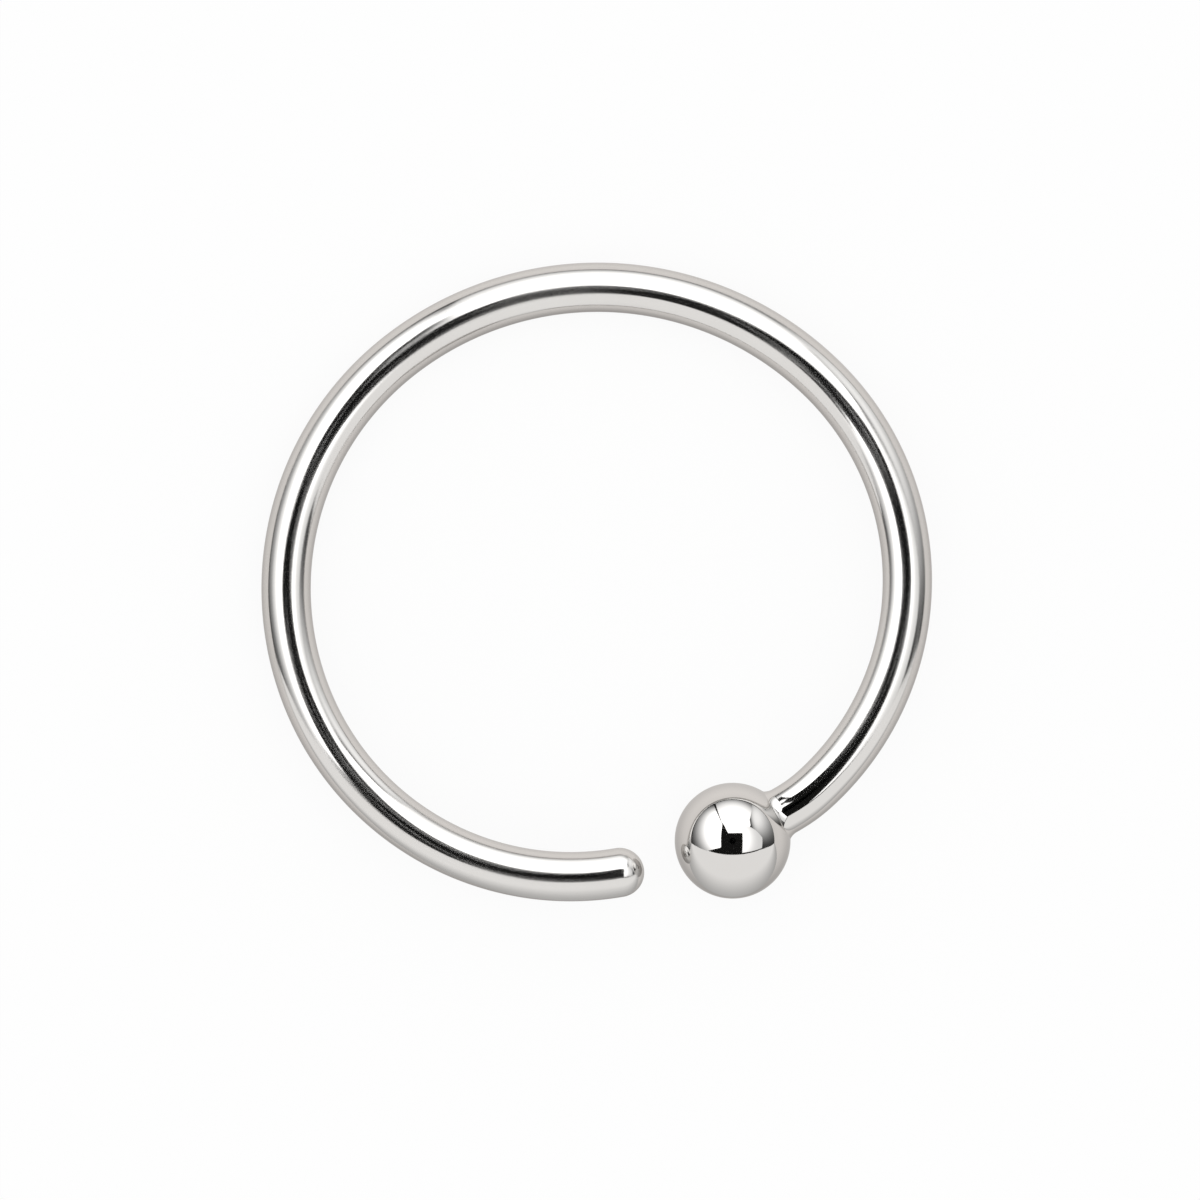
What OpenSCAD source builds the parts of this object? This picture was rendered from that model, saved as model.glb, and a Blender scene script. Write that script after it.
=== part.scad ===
// Ball-end hoop for a pierced septum: one round wire bent into an open hoop, with a rounded free
// end and a ball soldered to its other end. Soldered and polished, it is one piece of metal.
// It lies on its side as it comes to rest by itself, leaning on the ball and on the wire across
// from it. +Z is up, and the origin is on the surface below the middle of the hoop's box.
// Seen from above with +Y up, the gap is at the bottom and the ball at the lower right.

/* [Wire] */
// Diameter of the round wire, 20 gauge
wire_d = 0.81; // [0.64:0.01:1.02]

/* [Ball] */
// Diameter of the ball
ball_d = 1.9; // [1.7:0.05:2.3]
// Height of the solder's edge on the ball above the wire's surface
solder_rise = 0.045; // [0.02:0.005:0.08]
// Radius of the hollow curve that leads from the solder's edge down to the wire
solder_r = 0.25; // [0.15:0.01:0.35]

/* [Hoop] */
// Straight wire between the solder and the first bend
lead_len = 0.07; // [0.05:0.01:0.2]
// Direction in which the wire leaves the ball, counted up from the right
lead_angle = 30; // [26:0.5:34]
// Clearance between the rounded free end and the ball
end_gap = 0.57; // [0.3:0.01:1]

/* [Bends] */
// Radius of the short bend beside the ball, to the wire's centre line
shoulder_r = 2.6; // [2.3:0.1:3]
// Turn of the short bend beside the ball, in degrees
shoulder_turn = 12.5; // [11:0.5:14]
// Radius of the right side
right_r = 4.62; // [4.55:0.01:4.7]
// Turn of the right side, in degrees
right_turn = 93; // [90:0.5:96]
// Radius of the top left, which is the flattest stretch
top_r = 5.27; // [5.2:0.01:5.35]
// Turn of the top left, in degrees
top_turn = 82.5; // [79:0.5:86]
// Radius of the left side
left_r = 4.85; // [4.77:0.01:4.93]
// Turn of the left side, in degrees
left_turn = 73.5; // [70:0.5:77]
// Radius of the bottom, which runs to the free end
bottom_r = 4.65; // [4.57:0.01:4.73]

/* [Hidden] */
$fn = 96;
STEEL = "#C9C6C2";

wire_r = wire_d / 2;
ball_r = ball_d / 2;

// The solder is a collar on the wire's own axis. Distances along that axis are from the ball's
// centre: the collar's edge on the ball, its end on the wire, and the start of the first bend.
solder_edge_r = wire_r + solder_rise;
solder_start = sqrt(ball_r^2 - solder_edge_r^2);
solder_end = solder_start + sqrt(solder_r^2 - (solder_r - solder_rise)^2);
lead_end = hundredths(solder_end + lead_len);

// The plan is the hoop's centre line, drawn flat with the ball's centre at [0, 0]. It leaves the
// ball along +X and turns to the left all the way: up the right side, over the top, and down to
// the free end.
radii = [shoulder_r, right_r, top_r, left_r, bottom_r];
BOTTOM = 4;

function hundredths(value) = round(100 * value) / 100;
function toward(angle) = [cos(angle), sin(angle)];
function left_of(angle) = [-sin(angle), cos(angle)];
function turn(bend) =
    bend == BOTTOM ? bottom_turn : [shoulder_turn, right_turn, top_turn, left_turn][bend];
function heading(bend) = bend == 0 ? 0 : heading(bend - 1) + turn(bend - 1);
function start(bend) = bend == 0 ? [lead_end, 0] : along(bend - 1, turn(bend - 1));
function centre(bend) = start(bend) + radii[bend] * left_of(heading(bend));
function along(bend, angle) = centre(bend) - radii[bend] * left_of(heading(bend) + angle);

// The bottom bend stops where the rounded end is end_gap clear of the ball. Its centre, the
// ball's centre and the free end's centre are a triangle with three known sides.
bottom_centre = centre(BOTTOM);
centre_to_ball = norm(bottom_centre);
ball_to_tip = ball_r + end_gap + wire_r;
turn_left_over =
    acos((bottom_r^2 + centre_to_ball^2 - ball_to_tip^2) / (2 * bottom_r * centre_to_ball));
direction_to_ball = atan2(-bottom_centre.y, -bottom_centre.x);
direction_to_start = heading(BOTTOM) - 90;
turn_to_ball = (direction_to_ball - direction_to_start + 720) % 360;
bottom_turn = hundredths(turn_to_ball - turn_left_over);

// Points along the centre line, close enough together to find its extremes
STEPS = 60;
centre_line = [for (bend = [0:BOTTOM]) for (i = [0:STEPS]) along(bend, turn(bend) * i / STEPS)];

// Balance point in the plan, from the bends and the ball. The lead and the rounded end weigh too
// little to move it.
function bend_volume(bend) = PI * wire_r^2 * radii[bend] * turn(bend) * PI / 180;
function bend_middle(bend) =
    let (half = turn(bend) / 2, inward = sin(half) / (half * PI / 180))
    centre(bend) - radii[bend] * inward * left_of(heading(bend) + half);
volumes = [for (bend = [0:BOTTOM]) bend_volume(bend)];
total_volume = volumes * [for (v = volumes) 1] + 4 / 3 * PI * ball_r^3;
balance_point = volumes * [for (bend = [0:BOTTOM]) bend_middle(bend)] / total_volume;

// The ball is thicker than the wire, so the hoop leans: it rises to the ball from where the wire
// touches the surface. It settles facing the way in which its balance point is lowest.
LEAN_STEP = 0.5;
function down_slope(p, uphill) = -p * toward(uphill);
function reach(uphill) = max([for (p = centre_line) down_slope(p, uphill)]);
function lowness(uphill) =
    reach(uphill) > ball_d ? down_slope(balance_point, uphill) / reach(uphill) : 0;
facings = [for (a = [0:LEAN_STEP:360 - LEAN_STEP]) a];
lownesses = [for (a = facings) lowness(a)];
uphill = facings[search(max(lownesses), lownesses)[0]];
lean = asin((ball_r - wire_r) / reach(uphill));

// Middle of the leaning hoop's box, seen from above, once the plan is turned to lead_angle
function turned(p) = [p * toward(-lead_angle), p * left_of(-lead_angle)];
function leaned(p) = p - (1 - cos(lean)) * (p * toward(uphill)) * toward(uphill);
line_seen = [for (p = centre_line) turned(leaned(p))];
low = [for (k = [0, 1]) min(min([for (p = line_seen) p[k]]) - wire_r, -ball_r)];
high = [for (k = [0, 1]) max(max([for (p = line_seen) p[k]]) + wire_r, ball_r)];
box_middle = (low + high) / 2;

// Moves in two steps, a rounded one and the small rest, so that neighbouring bends meet to the
// last digit
module move_to(p) {
    rounded = [for (value = p) hundredths(value)];
    translate(rounded) translate(p - rounded) children();
}

// Half a disc, to the right of the vertical axis
module half_disc(r) {
    intersection() {
        circle(r = r);
        translate([0, -r]) square([r, 2 * r]);
    }
}

// Half profile of the solder: a stub from the ball's centre, hollowed out down to the wire
module solder_profile() {
    difference() {
        square([solder_edge_r, solder_end]);
        translate([wire_r + solder_r, solder_end]) circle(r = solder_r);
    }
}

// Half profile of the straight wire, from inside the ball up to the first bend
module lead_profile() {
    square([wire_r, lead_end]);
}

// Ball, solder and straight wire, turned as one profile about the wire's axis
module ball_end() {
    color(STEEL) rotate([0, 90, 0]) rotate_extrude() {
        half_disc(ball_r);
        solder_profile();
        lead_profile();
    }
}

// The bent wire, one part of a ring for each bend
module bent_wire() {
    color(STEEL) for (bend = [0:BOTTOM])
        move_to(centre(bend)) rotate_extrude(angle = turn(bend), start = heading(bend) - 90)
            translate([radii[bend], 0]) circle(r = wire_r);
}

// The rounded free end, half a ball as thick as the wire
module rounded_end() {
    end_heading = heading(BOTTOM) + bottom_turn;
    color(STEEL) move_to(along(BOTTOM, bottom_turn))
        rotate_extrude(angle = 180, start = end_heading - 90) half_disc(wire_r);
}

// Leans the flat plan as it rests on the surface, turns it and moves it over the origin
module at_rest() {
    translate([-box_middle.x, -box_middle.y, ball_r]) rotate([0, 0, lead_angle])
        rotate(a = lean, v = [sin(uphill), -cos(uphill), 0]) children();
}

// The whole hoop: ball, solder, bent wire and rounded end in one solid
module hoop() {
    at_rest() {
        ball_end();
        bent_wire();
        rounded_end();
    }
}

hoop();
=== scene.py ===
"""Looks of a ball-end hoop for a pierced septum: mirror-polished steel in a small light studio.

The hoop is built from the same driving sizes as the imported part, so it lies where its solid is.
Lengths are in metres, as in the frame. In the studio, right, up and near are counted from the
ball's middle as the camera sees them.
"""

import math
from collections import namedtuple

import bpy
from mathutils import Matrix, Vector


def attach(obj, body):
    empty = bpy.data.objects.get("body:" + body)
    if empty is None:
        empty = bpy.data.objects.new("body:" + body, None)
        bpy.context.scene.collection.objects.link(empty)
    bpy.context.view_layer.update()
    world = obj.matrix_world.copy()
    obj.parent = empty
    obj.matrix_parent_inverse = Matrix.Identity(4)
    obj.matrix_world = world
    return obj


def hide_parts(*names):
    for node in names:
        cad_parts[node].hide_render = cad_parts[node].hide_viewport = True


bl_info = {
    "name": "Ball-end hoop",
    "version": (1, 0, 0),
    "blender": (4, 5, 0),
    "location": "3D View > Sidebar > Hoop",
    "description": "Builds a polished steel ball-end hoop, its light studio and its camera",
    "category": "Add Mesh",
}

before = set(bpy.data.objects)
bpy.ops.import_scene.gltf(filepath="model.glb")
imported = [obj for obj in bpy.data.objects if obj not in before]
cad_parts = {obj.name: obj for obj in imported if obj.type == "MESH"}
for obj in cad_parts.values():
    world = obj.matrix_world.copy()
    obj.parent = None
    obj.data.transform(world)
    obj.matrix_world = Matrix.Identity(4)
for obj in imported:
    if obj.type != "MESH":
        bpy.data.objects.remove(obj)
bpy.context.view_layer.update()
MM = 0.001
# Width of the camera's sensor in millimetres
SENSOR_WIDTH = 36.0


def linear(hex_colour):
    """Linear RGBA of an sRGB hex colour."""
    channels = [int(hex_colour[i : i + 2], 16) / 255 for i in (1, 3, 5)]
    return (*[c / 12.92 if c <= 0.04045 else ((c + 0.055) / 1.055) ** 2.4 for c in channels], 1.0)


def length(name, description, millimetres):
    """A length property with a default in millimetres."""
    return bpy.props.FloatProperty(
        name=name,
        description=description,
        default=millimetres * MM,
        min=0.0,
        precision=5,
        subtype="DISTANCE",
        unit="LENGTH",
    )


def angle(name, description, degrees):
    """An angle property with a default in degrees."""
    return bpy.props.FloatProperty(
        name=name,
        description=description,
        default=math.radians(degrees),
        subtype="ANGLE",
        unit="ROTATION",
    )


def colour(name, description, hex_colour):
    """A colour property with an sRGB hex default."""
    return bpy.props.FloatVectorProperty(
        name=name,
        description=description,
        default=linear(hex_colour),
        size=4,
        min=0.0,
        max=1.0,
        subtype="COLOR",
    )


def amount(name, description, default, highest=1.0):
    """A plain number from 0 up to highest."""
    return bpy.props.FloatProperty(
        name=name, description=description, default=default, min=0.0, max=highest, precision=3
    )


class HoopSizes(bpy.types.PropertyGroup):
    """Driving sizes of the hoop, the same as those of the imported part."""

    wire_d: length("Wire", "Diameter of the round wire, 20 gauge", 0.81)
    ball_d: length("Ball", "Diameter of the ball", 1.9)
    solder_rise: length("Solder rise", "Height of the solder's edge above the wire", 0.045)
    solder_r: length("Solder curve", "Radius of the solder's hollow curve", 0.25)
    lead_len: length("Lead", "Straight wire between the solder and the first bend", 0.07)
    end_gap: length("Gap", "Clearance between the rounded free end and the ball", 0.57)
    lead_angle: angle("Lead direction", "Way in which the wire leaves the ball", 30)
    shoulder_r: length("Shoulder radius", "Short bend beside the ball", 2.6)
    shoulder_turn: angle("Shoulder turn", "Turn of the short bend beside the ball", 12.5)
    right_r: length("Right radius", "Bend of the right side", 4.62)
    right_turn: angle("Right turn", "Turn of the right side", 93)
    top_r: length("Top radius", "Bend of the top left, the flattest stretch", 5.27)
    top_turn: angle("Top turn", "Turn of the top left", 82.5)
    left_r: length("Left radius", "Bend of the left side", 4.85)
    left_turn: angle("Left turn", "Turn of the left side", 73.5)
    bottom_r: length("Bottom radius", "Bend that runs to the free end", 4.65)
    uphill: angle("Uphill", "Way in which the resting hoop rises to its ball", 295)


class SteelFinish(bpy.types.PropertyGroup):
    """Finish of the polished steel."""

    steel: colour("Steel", "Colour of the polished steel", "#C8C7C5")
    steel_shade: colour("Steel, duller", "Colour where the buffing left a faint film", "#C4C2C0")
    roughness: amount("Roughness", "Roughness of the mirror polish", 0.04)
    haze: amount("Haze", "Roughness added where the buffing left a faint haze", 0.01)
    line_spacing: length("Draw lines", "Distance between lengthwise lines from the draw plate", 0.05)
    line_depth: length("Line depth", "Depth of the lengthwise lines", 0.0006)
    line_haze: amount("Line haze", "Roughness that the deepest lines keep", 0.16)
    wave_length: length("Waves", "Length of the waves that hand buffing leaves", 1.1)
    wave_depth: length("Wave depth", "Depth of the buffing waves", 0.006)


class Studio(bpy.types.PropertyGroup):
    """Camera, floor and light of the studio."""

    view_width: length("View width", "Width of the picture at the hoop", 19.672)
    ball_right: length("Ball right", "Distance of the ball to the right of the middle", 2.174)
    ball_down: length("Ball down", "Distance of the ball below the middle", 3.946)
    lens: bpy.props.FloatProperty(
        name="Lens", description="Focal length of the camera", default=1000, subtype="DISTANCE_CAMERA"
    )
    floor_white: colour("Floor", "Colour of the floor under the studio light", "#FEFEFE")
    floor_shade: amount("Floor shade", "Share of the floor's brightness that shadows take away", 0.1)


# One ring of points around the wire or the ball. The slope is how far its normals lean forward,
# and slope_on is the slope on the far side of a crease.
Ring = namedtuple("Ring", "middle heading radius slope slope_on", defaults=(None,))

# Fineness of the mesh: points on a ring, the longest step along a bend, the step over the ball,
# and the number of rings on the solder's curve and on the rounded end
AROUND = 120
STEP = 0.06 * MM
BALL_STEP = math.radians(2.5)
SOLDER_RINGS = 14
TIP_RINGS = 24


def toward(heading):
    """Unit vector of a heading in the flat plan."""
    return Vector((math.cos(heading), math.sin(heading), 0.0))


def left_of(heading):
    """Unit vector to the left of a heading in the flat plan."""
    return Vector((-math.sin(heading), math.cos(heading), 0.0))


def shares(count):
    """Even steps from just after 0 up to 1."""
    return [(i + 1) / count for i in range(count)]


def ball_rings(s):
    """Ball about the origin, from its far pole to the solder's edge. The wire leaves along +X."""
    ball_r = s.ball_d / 2
    edge_r = s.wire_d / 2 + s.solder_rise
    crease = math.pi - math.asin(edge_r / ball_r)
    count = round(crease / BALL_STEP)
    return [
        Ring(-ball_r * math.cos(crease * t) * toward(0), 0.0, ball_r * math.sin(crease * t),
             crease * t - math.pi / 2)
        for t in [0.0] + shares(count)
    ]


def solder_slope(s):
    """Slope of the solder's curve at its edge on the ball."""
    return math.acos(1 - s.solder_rise / s.solder_r)


def solder_rings(s, solder_end):
    """Hollow curve of the solder, from its edge on the ball down to the wire."""
    slopes = [solder_slope(s) * (1 - t) for t in shares(SOLDER_RINGS)]
    return [
        Ring((solder_end - s.solder_r * math.sin(a)) * toward(0), 0.0,
             s.wire_d / 2 + s.solder_r * (1 - math.cos(a)), a)
        for a in slopes
    ]


def bend_rings(start, heading, radius, turn, wire_r):
    """Rings along one bend, and the place and heading at its end."""
    centre = start + radius * left_of(heading)
    count = math.ceil(radius * turn / STEP)
    headings = [heading + turn * t for t in shares(count)]
    rings = [Ring(centre - radius * left_of(h), h, wire_r, 0.0) for h in headings]
    return rings, rings[-1].middle, headings[-1]


def bottom_turn(start, heading, s):
    """Turn of the last bend, which stops where the rounded end is the gap clear of the ball."""
    centre = start + s.bottom_r * left_of(heading)
    to_ball = centre.length
    tip_to_ball = s.ball_d / 2 + s.end_gap + s.wire_d / 2
    left_over = math.acos(
        (s.bottom_r**2 + to_ball**2 - tip_to_ball**2) / (2 * s.bottom_r * to_ball)
    )
    ball_way = math.atan2(-centre.y, -centre.x)
    start_way = heading - math.pi / 2
    return (ball_way - start_way) % (2 * math.pi) - left_over


def hoop_rings(s):
    """All rings of the flat hoop, from the ball's far pole to the tip of the free end."""
    wire_r = s.wire_d / 2
    ball_r = s.ball_d / 2
    solder_start = math.sqrt(ball_r**2 - (wire_r + s.solder_rise) ** 2)
    solder_end = solder_start + math.sqrt(s.solder_r**2 - (s.solder_r - s.solder_rise) ** 2)
    rings = ball_rings(s)
    rings[-1] = rings[-1]._replace(slope_on=solder_slope(s))
    rings += solder_rings(s, solder_end)
    place, heading = (solder_end + s.lead_len) * toward(0), 0.0
    rings.append(Ring(place, heading, wire_r, 0.0))
    for radius, turn in (
        (s.shoulder_r, s.shoulder_turn),
        (s.right_r, s.right_turn),
        (s.top_r, s.top_turn),
        (s.left_r, s.left_turn),
        (s.bottom_r, None),
    ):
        turn = bottom_turn(place, heading, s) if turn is None else turn
        more, place, heading = bend_rings(place, heading, radius, turn, wire_r)
        rings += more
    for t in shares(TIP_RINGS):
        a = t * math.pi / 2
        rings.append(
            Ring(place + wire_r * math.sin(a) * toward(heading), heading, wire_r * math.cos(a), a)
        )
    return rings


def rest_matrix(s, rings):
    """Turns the flat hoop as it lies on the floor, leaning on its ball and on the far wire."""
    uphill = s.uphill - s.lead_angle
    reach = max(-ring.middle.dot(toward(uphill)) for ring in rings)
    lean = math.asin((s.ball_d - s.wire_d) / 2 / reach)
    return Matrix.Rotation(s.lead_angle, 4, "Z") @ Matrix.Rotation(lean, 4, -left_of(uphill))


def add_hoop(s):
    """Mesh of the hoop, with exact normals and the place of each point on the straight wire."""
    rings = hoop_rings(s)
    rest = rest_matrix(s, rings)
    turns = [2 * math.pi * j / AROUND for j in range(AROUND)]
    last = len(rings) - 1
    points, unbent, normals = [], [], []
    along = 0.0

    def outward(ring, a):
        return math.cos(a) * -left_of(ring.heading) + Vector((0.0, 0.0, math.sin(a)))

    for i, ring in enumerate(rings):
        along += (ring.middle - rings[max(i - 1, 0)].middle).length
        for a in turns[:1] if i in (0, last) else turns:
            points.append(rest @ (ring.middle + ring.radius * outward(ring, a)))
            unbent.append((ring.radius * math.cos(a), ring.radius * math.sin(a), along))

    def index(i, j):
        if i == 0:
            return 0
        return len(points) - 1 if i == last else 1 + (i - 1) * AROUND + j % AROUND

    def normal(i, j, on):
        ring, a = rings[i], turns[j % AROUND]
        slope = ring.slope_on if on and ring.slope_on is not None else ring.slope
        n = math.cos(slope) * outward(ring, a) + math.sin(slope) * toward(ring.heading)
        return (rest.to_3x3() @ n).normalized()

    faces = []
    for i in range(last):
        for j in range(AROUND):
            corners = [(i, j, True), (i + 1, j, False), (i + 1, j + 1, False), (i, j + 1, True)]
            if i == 0:
                corners.pop(3)
            if i + 1 == last:
                corners.pop(2)
            faces.append([index(i, j) for i, j, _ in corners])
            normals += [normal(*corner) for corner in corners]

    mesh = bpy.data.meshes.new("hoop_steel")
    lows = [min(p[k] for p in points) for k in range(3)]
    highs = [max(p[k] for p in points) for k in range(3)]
    middle = Vector(((lows[0] + highs[0]) / 2, (lows[1] + highs[1]) / 2, -s.ball_d / 2))
    mesh.from_pydata([p - middle for p in points], [], faces)
    mesh.normals_split_custom_set(normals)
    place = mesh.attributes.new("straight_wire", "FLOAT_VECTOR", "POINT")
    place.data.foreach_set("vector", [value for point in unbent for value in point])
    piece = bpy.data.objects.new("hoop_steel", mesh)
    bpy.context.scene.collection.objects.link(piece)
    return piece, rest, -middle


def add_node(tree, kind, values=None, links=None, **settings):
    """Adds a shader node with its settings, socket values and incoming links."""
    node = tree.nodes.new("ShaderNode" + kind)
    for name, value in settings.items():
        setattr(node, name, value)
    for socket, value in (values or {}).items():
        node.inputs[socket].default_value = value
    for socket, source in (links or {}).items():
        tree.links.new(source, node.inputs[socket])
    return node


def new_material(name):
    """An empty node material."""
    material = bpy.data.materials.new(name)
    material.use_nodes = True
    material.node_tree.nodes.clear()
    return material, material.node_tree


# Places along the wire between which the draw lines fade in, in millimetres from the ball's far
# side. The first bend starts 2 mm from there. The ball was never drawn, so it has no lines.
LINES_FADE_IN = (2.3, 4.0)
# How much longer the lines' pattern is than it is wide
LINE_STRETCH = 40
# Levels of the lines' noise at which the steel is least and most dull, and its least dullness
LINE_LEVELS = (0.4, 0.62)
LEAST_LINE_HAZE = 0.06
# Patches of the buffing film to a millimetre, and the levels of their noise without and with haze
FILM_SCALE = 0.8
FILM_LEVELS = (0.35, 0.7)


def polished_steel(f):
    """Surgical steel, 316L: drawn to round wire, soldered to its ball and buffed to a mirror.

    The eye gets a warm grey mirror. Its reflections are a little soft, with faint lines along
    the wire from the draw plate and long, shallow waves from buffing by hand.
    """
    material, tree = new_material("polished_316L_steel")
    place = add_node(tree, "Attribute", attribute_name="straight_wire")
    in_mm = add_node(
        tree, "VectorMath", {1: (1 / MM,) * 3}, {0: place.outputs["Vector"]}, operation="MULTIPLY"
    )
    # Draw lines run along the wire, so their pattern is stretched lengthwise. They are polished
    # nearly flat, and drawn coarser than real ones so that they show.
    lengthwise = add_node(
        tree,
        "VectorMath",
        {1: (1, 1, 1 / LINE_STRETCH)},
        {0: in_mm.outputs[0]},
        operation="MULTIPLY",
    )
    lines = add_node(
        tree,
        "TexNoise",
        {"Scale": MM / f.line_spacing, "Detail": 0.0},
        {"Vector": lengthwise.outputs[0]},
    )
    axes = add_node(tree, "SeparateXYZ", links={0: in_mm.outputs[0]})
    drawn = add_node(
        tree,
        "MapRange",
        {"From Min": LINES_FADE_IN[0], "From Max": LINES_FADE_IN[1], "To Min": 0.0, "To Max": 1.0},
        {"Value": axes.outputs["Z"]},
    )
    line_bump = add_node(
        tree,
        "Bump",
        {"Distance": f.line_depth},
        {"Strength": drawn.outputs[0], "Height": lines.outputs[0]},
    )
    waves = add_node(
        tree,
        "TexNoise",
        {"Scale": MM / f.wave_length, "Detail": 1.0, "Roughness": 0.4},
        {"Vector": in_mm.outputs[0]},
    )
    wave_bump = add_node(
        tree,
        "Bump",
        {"Strength": 1.0, "Distance": f.wave_depth},
        {"Height": waves.outputs[0], "Normal": line_bump.outputs[0]},
    )
    film = add_node(
        tree,
        "TexNoise",
        {"Scale": FILM_SCALE, "Detail": 4.0, "Roughness": 0.55},
        {"Vector": in_mm.outputs[0]},
    )
    haze = add_node(
        tree,
        "MapRange",
        {
            "From Min": FILM_LEVELS[0],
            "From Max": FILM_LEVELS[1],
            "To Min": f.roughness,
            "To Max": f.roughness + f.haze,
        },
        {"Value": film.outputs[0]},
    )
    # The deeper lines keep a little of their dullness, which shows as grey streaks
    dull = add_node(
        tree,
        "MapRange",
        {
            "From Min": LINE_LEVELS[0],
            "From Max": LINE_LEVELS[1],
            "To Min": LEAST_LINE_HAZE,
            "To Max": f.line_haze,
        },
        {"Value": lines.outputs[0]},
    )
    surface = add_node(
        tree,
        "Math",
        links={0: dull.outputs[0], 1: drawn.outputs[0], 2: haze.outputs[0]},
        operation="MULTIPLY_ADD",
    )
    # A Mix node's inputs 6 and 7 are its two colours, and its output 2 is the mixed one
    tint = add_node(
        tree,
        "Mix",
        {6: f.steel, 7: f.steel_shade},
        {0: film.outputs[0]},
        data_type="RGBA",
    )
    steel = add_node(
        tree,
        "BsdfPrincipled",
        {"Metallic": 1.0},
        {
            "Base Color": tint.outputs[2],
            "Roughness": surface.outputs[0],
            "Normal": wave_bump.outputs[0],
        },
    )
    add_node(tree, "OutputMaterial", links={"Surface": steel.outputs[0]})
    return material


# A light card is one glowing face beside the hoop, like a wall of a small light tent that the
# camera looks into. Corners, core and reach are right, up and near, in millimetres, and corners
# and core are counted from the ball's middle. The card glows with the strength glow about its
# core, up to the share bright of its reach, and from there goes over to edge at the reach's end.
Card = namedtuple("Card", "name corners core reach bright glow edge colour")

CARDS = (
    Card(
        "top_softbox",
        ((-9.4, 17, 60), (21.5, 17.5, 60), (36.5, 28.5, 55.5), (45, 40, 51), (119, 170, 0),
         (-60, 131, 0), (-24, 41.5, 50.4), (-18.2, 34.5, 53.1)),
        (5, 30, 55), (150, 150, 150), 0.05, 2.6, 0.4, "#FFFFFF",
    ),
    Card(
        "left_wall",
        ((-25.5, 41, 59.5), (-25.5, -14, 59.5), (-25.5, -10, 18.5), (-25.5, -1.4, 0.7),
         (-25.5, 49, 0)),
        (-25.5, 24, 59.5), (66, 62, 66), 0.54, 2.8, 0.04, "#FFFFFF",
    ),
    Card(
        "right_lamp",
        ((22, -27, 60), (22, 16, 60), (22.5, 24, 54.5), (23.5, 26, 44), (25, 19, 31),
         (26, 11, 22), (27, 3, 15), (27, -6.5, 15)),
        (22, 4, 62), (46, 46, 46), 0.15, 2.6, 1.15, "#FFFFFF",
    ),
    Card(
        "right_wall",
        ((60, -40, 100), (57.5, 55.5, 92.5), (25, 47, 0), (25, -2, 0)),
        (25, 30, 18), (37, 37, 37), 0.16, 1.5, 0.06, "#FFFFFF",
    ),
    # Painted shade: the table's glow falls to half along its edge by the hoop, standing in for the
    # hoop's shadow on the floor
    Card(
        "front_table",
        ((-25, -1.29, -0.4), (25, -1.29, -0.4), (400, -130, 249), (-400, -130, 249)),
        (0, -68, 130), (2000, 2000, 130.9), 0.9855, 1.25, 0.5, "#FFFEFD",
    ),
    Card(
        "lens_front",
        ((23, 9, 200), (9, 23, 200), (-9, 23, 200), (-23, 9, 200), (-23, -9, 200),
         (-9, -23, 200), (9, -23, 200), (23, -9, 200)),
        (0, 0, 200), (25, 25, 25), 0.5, 0.0, 0.002, "#FFFFFF",
    ),
)


def card_material(card):
    """Light whose strength changes with the distance from the card's core."""
    material, tree = new_material(card.name)
    place = add_node(tree, "TexCoord")
    from_core = add_node(
        tree,
        "Mapping",
        {"Location": Vector(card.core) * MM, "Scale": Vector(card.reach) * MM},
        {"Vector": place.outputs["Object"]},
        vector_type="TEXTURE",
    )
    away = add_node(tree, "VectorMath", links={0: from_core.outputs[0]}, operation="LENGTH")
    glow = add_node(
        tree,
        "MapRange",
        {"From Min": card.bright, "From Max": 1.0, "To Min": card.glow, "To Max": card.edge},
        {"Value": away.outputs["Value"]},
        interpolation_type="SMOOTHSTEP",
    )
    light = add_node(
        tree, "Emission", {"Color": linear(card.colour)}, {"Strength": glow.outputs[0]}
    )
    add_node(tree, "OutputMaterial", links={"Surface": light.outputs[0]})
    material.cycles.emission_sampling = "NONE"
    return material


def add_card(card, studio_matrix):
    """Light card that only reflections see, so that it leaves the floor and the view alone."""
    mesh = bpy.data.meshes.new(card.name)
    mesh.from_pydata([Vector(c) * MM for c in card.corners], [], [range(len(card.corners))])
    mesh.materials.append(card_material(card))
    piece = bpy.data.objects.new(card.name, mesh)
    piece.matrix_world = studio_matrix
    bpy.context.scene.collection.objects.link(piece)
    piece.visible_camera = False
    piece.visible_diffuse = False
    piece.visible_shadow = False


# Half the width of the floor
FLOOR_REACH = 600 * MM


def add_floor(studio):
    """Pale floor that stays white in the light, with a faint shade where the hoop touches it."""
    mesh = bpy.data.meshes.new("floor")
    corners = [
        (right * FLOOR_REACH, back * FLOOR_REACH, 0)
        for right, back in ((-1, -1), (1, -1), (1, 1), (-1, 1))
    ]
    mesh.from_pydata(corners, [], [range(len(corners))])
    material, tree = new_material("matt_white_card")
    shade = studio.floor_shade
    shaded_white = [c * shade for c in studio.floor_white[:3]] + [1]
    paper = add_node(tree, "BsdfDiffuse", {"Color": shaded_white})
    glow = add_node(tree, "Emission", {"Color": studio.floor_white, "Strength": 1.0 - shade})
    both = add_node(tree, "AddShader", links={0: paper.outputs[0], 1: glow.outputs[0]})
    add_node(tree, "OutputMaterial", links={"Surface": both.outputs[0]})
    material.cycles.emission_sampling = "NONE"
    mesh.materials.append(material)
    floor = bpy.data.objects.new("floor", mesh)
    bpy.context.scene.collection.objects.link(floor)
    floor.visible_glossy = False
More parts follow.
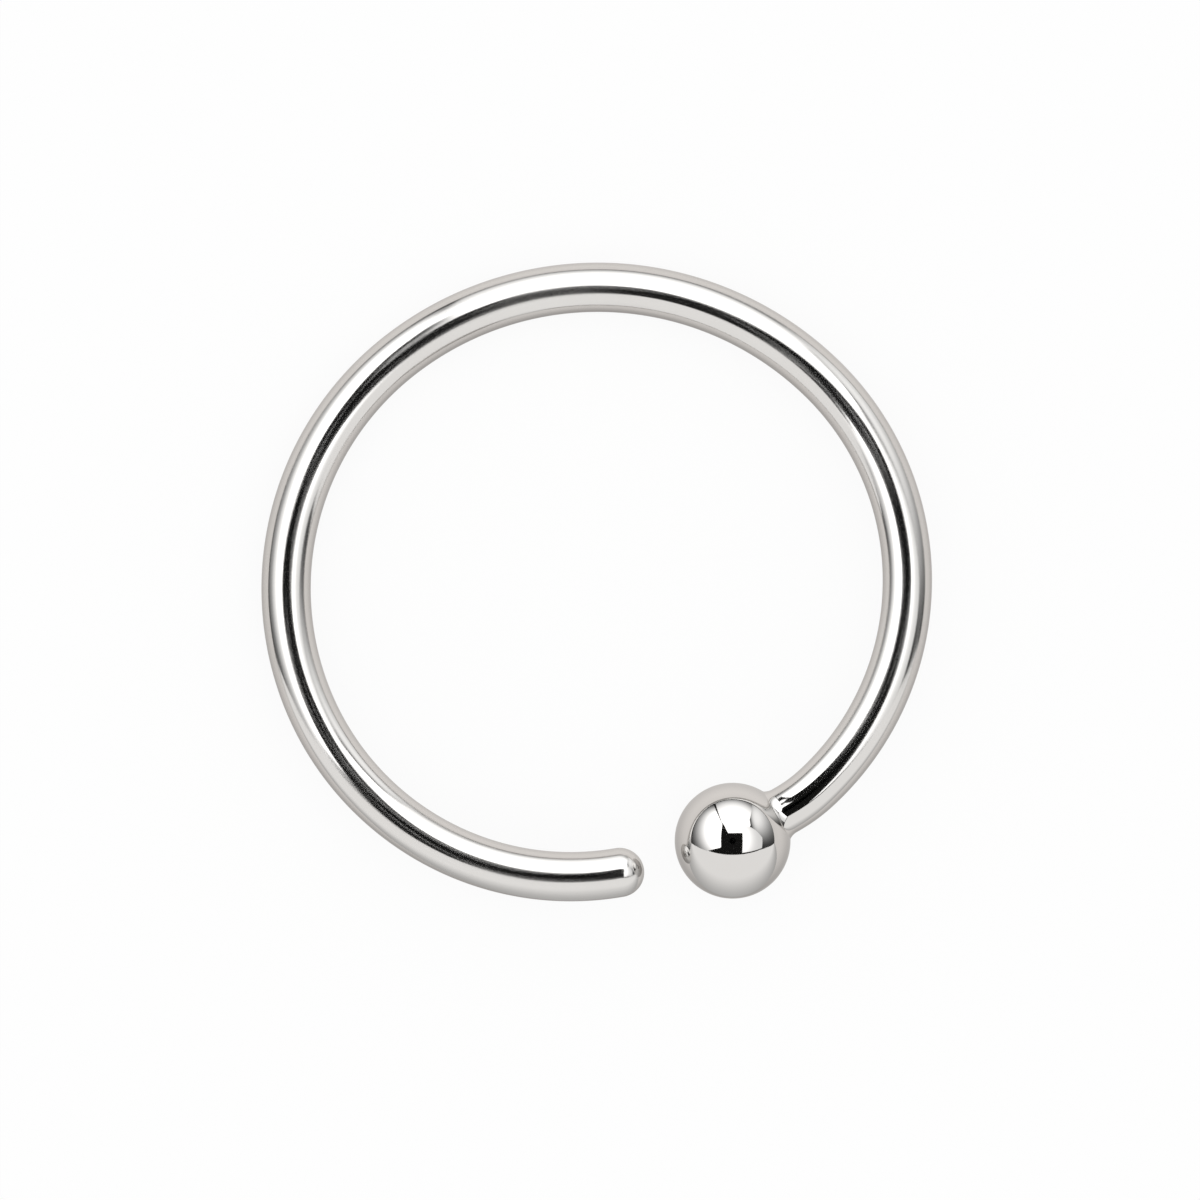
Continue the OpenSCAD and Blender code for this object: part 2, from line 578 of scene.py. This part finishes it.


# The backdrop as the hoop mirrors it, painted with shade in place of the floor, which the
# reflections do not see. A direction's near value is -1 straight behind the hoop and 0 level with
# its face. The glow goes from its first value to its second over BACKDROP_NEAR: painted shade,
# dimmest straight behind the hoop where the hoop's shadow on the floor would fall. The slant is
# painted light, lighter toward up than down as if lit from above. The backdrop ends over
# BACKDROP_EDGE.
BACKDROP_NEAR = (-1.1, -0.25)
BACKDROP_GLOW = (0.6, 1.02)
# Painted light: the backdrop is lighter toward up than down, as if lit from above
PAINTED_LIGHT_SLANT = -0.4
BACKDROP_EDGE = (-0.045, -0.03)
BACKDROP_COLOUR = "#FFFBF8"
DARK_GLOW = 0.0105


def set_surroundings(studio_matrix):
    """White room for the camera and the floor; the hoop's reflections see a backdrop with painted
    shade.
    """
    world = bpy.data.worlds.new("studio_room")
    world.use_nodes = True
    tree = world.node_tree
    tree.nodes.clear()
    way = add_node(tree, "TexCoord")
    # Directions are turned into right, up and near
    turn = add_node(
        tree,
        "Mapping",
        {"Rotation": studio_matrix.to_3x3().inverted().to_euler()},
        {"Vector": way.outputs["Generated"]},
    )
    axes = add_node(tree, "SeparateXYZ", links={0: turn.outputs[0]})
    # Painted shade: the backdrop is dimmest straight behind the hoop, where the hoop's shadow on the
    # floor would fall, and painted light makes it dimmer below than above
    painted_floor_shadow = add_node(
        tree,
        "MapRange",
        {
            "From Min": BACKDROP_NEAR[0],
            "From Max": BACKDROP_NEAR[1],
            "To Min": BACKDROP_GLOW[0],
            "To Max": BACKDROP_GLOW[1],
        },
        {"Value": axes.outputs["Z"]},
        interpolation_type="SMOOTHSTEP",
    )
    painted_light_slant = add_node(
        tree, "Math", links={0: axes.outputs["Y"], 1: axes.outputs["Z"]}, operation="MULTIPLY"
    )
    backdrop = add_node(
        tree,
        "Math",
        {1: PAINTED_LIGHT_SLANT},
        {0: painted_light_slant.outputs[0], 2: painted_floor_shadow.outputs[0]},
        operation="MULTIPLY_ADD",
    )
    # On the camera's side it is dark between the cards
    below = add_node(
        tree,
        "MapRange",
        {"From Min": BACKDROP_EDGE[0], "From Max": BACKDROP_EDGE[1], "To Min": 1.0, "To Max": 0.0},
        {"Value": axes.outputs["Z"]},
    )
    level = add_node(
        tree, "Math", links={0: backdrop.outputs[0], 1: below.outputs[0]}, operation="MULTIPLY"
    )
    dark = add_node(tree, "Math", {1: DARK_GLOW}, {0: level.outputs[0]}, operation="MAXIMUM")
    seen = add_node(
        tree, "Background", {"Color": linear(BACKDROP_COLOUR)}, {"Strength": dark.outputs[0]}
    )
    room = add_node(tree, "Background", {"Color": (1, 1, 1, 1), "Strength": 1.0})
    ray = add_node(tree, "LightPath")
    choice = add_node(
        tree,
        "MixShader",
        links={0: ray.outputs["Is Glossy Ray"], 1: room.outputs[0], 2: seen.outputs[0]},
    )
    add_node(tree, "OutputWorld", links={"Surface": choice.outputs[0]})
    bpy.context.scene.world = world


def studio_frame(hoop):
    """Frame of the studio: the ball's middle, then right, up and near as the camera sees them."""
    face = Matrix(hoop["rest"]).to_3x3()
    # The flat hoop has its lead along +X, and the picture has it lead_angle up from the right
    face = face @ Matrix.Rotation(-bpy.context.scene.hoop_sizes.lead_angle, 3, "Z")
    return Matrix.Translation(Vector(hoop["ball"])) @ face.to_4x4()


def add_camera(studio, studio_matrix):
    """Camera square to the hoop's face, far off, as a long lens sees it."""
    data = bpy.data.cameras.new("camera")
    data.lens = studio.lens
    data.sensor_width = SENSOR_WIDTH
    distance = studio.view_width * data.lens / data.sensor_width
    data.clip_start = 0.01 * distance
    data.clip_end = 100 * distance
    camera = bpy.data.objects.new("camera", data)
    place = Vector((-studio.ball_right, studio.ball_down, distance))
    camera.matrix_world = studio_matrix @ Matrix.Translation(place)
    bpy.context.scene.collection.objects.link(camera)
    bpy.context.scene.camera = camera


class HOOP_OT_build(bpy.types.Operator):
    """Build the steel hoop: ball, solder, bent wire and rounded end in one piece"""

    bl_idname = "hoop.build"
    bl_label = "Build hoop"

    def execute(self, context):
        piece, rest, ball = add_hoop(context.scene.hoop_sizes)
        piece["rest"] = [list(row) for row in rest]
        piece["ball"] = list(ball)
        piece.data.materials.append(polished_steel(context.scene.steel_finish))
        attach(piece, "root")
        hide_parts("hoop")
        return {"FINISHED"}


class HOOP_OT_stage(bpy.types.Operator):
    """Set the floor, the light cards, the surroundings and the camera"""

    bl_idname = "hoop.stage"
    bl_label = "Set stage"

    def execute(self, context):
        studio = context.scene.hoop_studio
        studio_matrix = studio_frame(bpy.data.objects["hoop_steel"])
        add_floor(studio)
        for card in CARDS:
            add_card(card, studio_matrix)
        set_surroundings(studio_matrix)
        add_camera(studio, studio_matrix)
        context.scene.view_settings.view_transform = "Standard"
        return {"FINISHED"}


class HOOP_PT_sidebar(bpy.types.Panel):
    """Lists the hoop's sizes, its finish and the studio"""

    bl_idname = "HOOP_PT_sidebar"
    bl_label = "Ball-end hoop"
    bl_space_type = "VIEW_3D"
    bl_region_type = "UI"
    bl_category = "Hoop"

    def draw(self, context):
        for group, operator in GROUPS:
            settings = getattr(context.scene, group)
            column = self.layout.column()
            for name in settings.__annotations__:
                column.prop(settings, name)
            if operator:
                column.operator(operator)


GROUPS = (("hoop_sizes", None), ("steel_finish", "hoop.build"), ("hoop_studio", "hoop.stage"))
CLASSES = (HoopSizes, SteelFinish, Studio, HOOP_OT_build, HOOP_OT_stage, HOOP_PT_sidebar)


def register():
    for cls in CLASSES:
        bpy.utils.register_class(cls)
    bpy.types.Scene.hoop_sizes = bpy.props.PointerProperty(type=HoopSizes)
    bpy.types.Scene.steel_finish = bpy.props.PointerProperty(type=SteelFinish)
    bpy.types.Scene.hoop_studio = bpy.props.PointerProperty(type=Studio)


def unregister():
    del bpy.types.Scene.hoop_studio
    del bpy.types.Scene.steel_finish
    del bpy.types.Scene.hoop_sizes
    for cls in reversed(CLASSES):
        bpy.utils.unregister_class(cls)


def main():
    register()
    bpy.ops.hoop.build()
    bpy.ops.hoop.stage()


if __name__ == "__main__":
    main()
